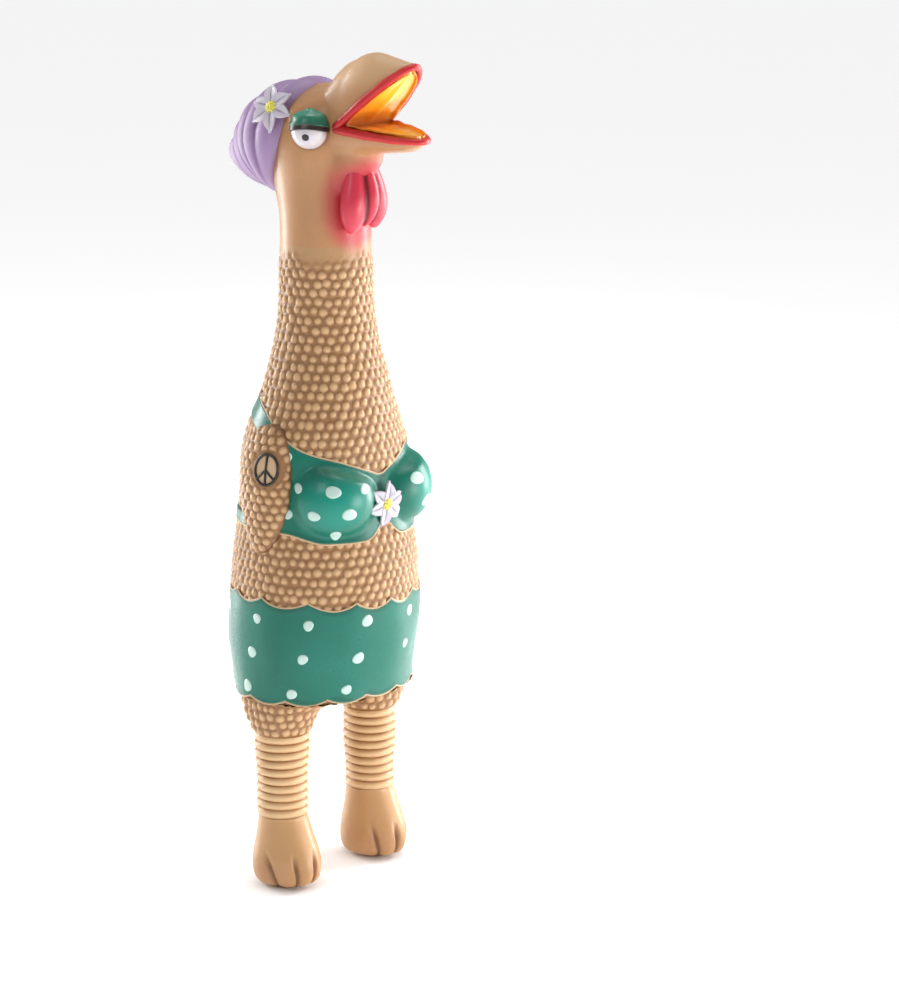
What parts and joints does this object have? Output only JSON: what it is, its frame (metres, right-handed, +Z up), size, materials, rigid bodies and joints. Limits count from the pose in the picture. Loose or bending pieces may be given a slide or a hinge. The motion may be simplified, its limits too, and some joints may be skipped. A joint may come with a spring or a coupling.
{
  "type": "rubber chicken",
  "caption": "Novelty squawking rubber chicken in a turban and two-piece swimsuit, a hollow latex squeeze toy with bending neck and legs and a reed squawker.",
  "frame": {"origin": "on the ground, in the middle of the bird's plan box", "axes": "+Z up along the bird's height, the bird faces -Y, its right side is at -X"},
  "size_m": [0.1009, 0.1327, 0.415],
  "materials": {
    "latex_skin": "satin",
    "painted_teal": "gloss",
    "painted_lilac": "satin",
    "painted_red": "satin",
    "painted_orange": "gloss",
    "painted_white": "gloss",
    "painted_yellow": "satin",
    "painted_dark": "satin",
    "painted_green": "satin",
    "squawker_plastic": "gloss",
    "reed_brass": "satin"
  },
  "bodies": {
    "torso": {"torso_skin": "latex_skin", "hip_skin": "latex_skin", "neck_base_skin": "latex_skin", "bikini_top": "painted_teal", "bikini_petals": "painted_white", "bikini_flower_heart": "painted_yellow", "swim_shorts": "painted_teal", "wing_right": "latex_skin", "wing_left": "latex_skin", "arm_badge": "painted_dark", "shank_right": "latex_skin", "shank_left": "latex_skin", "squawker_collar": "latex_skin", "squawker_barrel": "squawker_plastic", "squawker_grille": "squawker_plastic", "squawker_reed_seat": "squawker_plastic", "squawker_wedge": "squawker_plastic"},
    "neck": {"neck_skin": "latex_skin", "throat_skin": "latex_skin"},
    "head": {"head_skin": "latex_skin", "upper_beak": "latex_skin", "lower_beak": "latex_skin", "upper_lip": "painted_red", "lower_lip": "painted_red", "mouth_lining": "painted_orange", "wattle": "painted_red", "eyeball_right": "painted_white", "eyeball_left": "painted_white", "pupil_right": "painted_dark", "pupil_left": "painted_dark", "eyelid_right": "painted_green", "eyelid_left": "painted_green", "turban_cap": "painted_lilac", "turban_rolls": "painted_lilac", "turban_petals": "painted_white", "turban_flower_heart": "painted_yellow"},
    "right_foot": {"foot_right": "latex_skin"},
    "left_foot": {"foot_left": "latex_skin"},
    "reed": {"squawker_reed": "reed_brass"}
  },
  "joints": [
    {"name": "neck_nod", "type": "hinge", "parent": "torso", "child": "neck", "pos_m": [0, 0.001, 0.27094], "axis": [1, 0, 0], "range_deg": [-45, 45], "deforming": ["neck_base_skin"]},
    {"name": "head_tilt", "type": "hinge", "parent": "neck", "child": "head", "pos_m": [0, 0.001, 0.31384], "axis": [0, 1, 0], "range_deg": [-35, 35], "deforming": ["throat_skin"]},
    {"name": "right_leg_swing", "type": "hinge", "parent": "torso", "child": "right_foot", "pos_m": [-0.031, 0.004, 0.0585], "axis": [1, 0, 0], "range_deg": [-60, 60], "deforming": ["shank_right"]},
    {"name": "left_leg_swing", "type": "hinge", "parent": "torso", "child": "left_foot", "pos_m": [0.031, 0.004, 0.0585], "axis": [1, 0, 0], "range_deg": [-60, 60], "deforming": ["shank_left"]},
    {"name": "reed_beat", "type": "hinge", "parent": "torso", "child": "reed", "pos_m": [0, 0.02692, 0.12565], "axis": [1, 0, 0], "range_deg": [-3, 6], "stiffness_Nm_per_rad": 0.003}
  ]
}
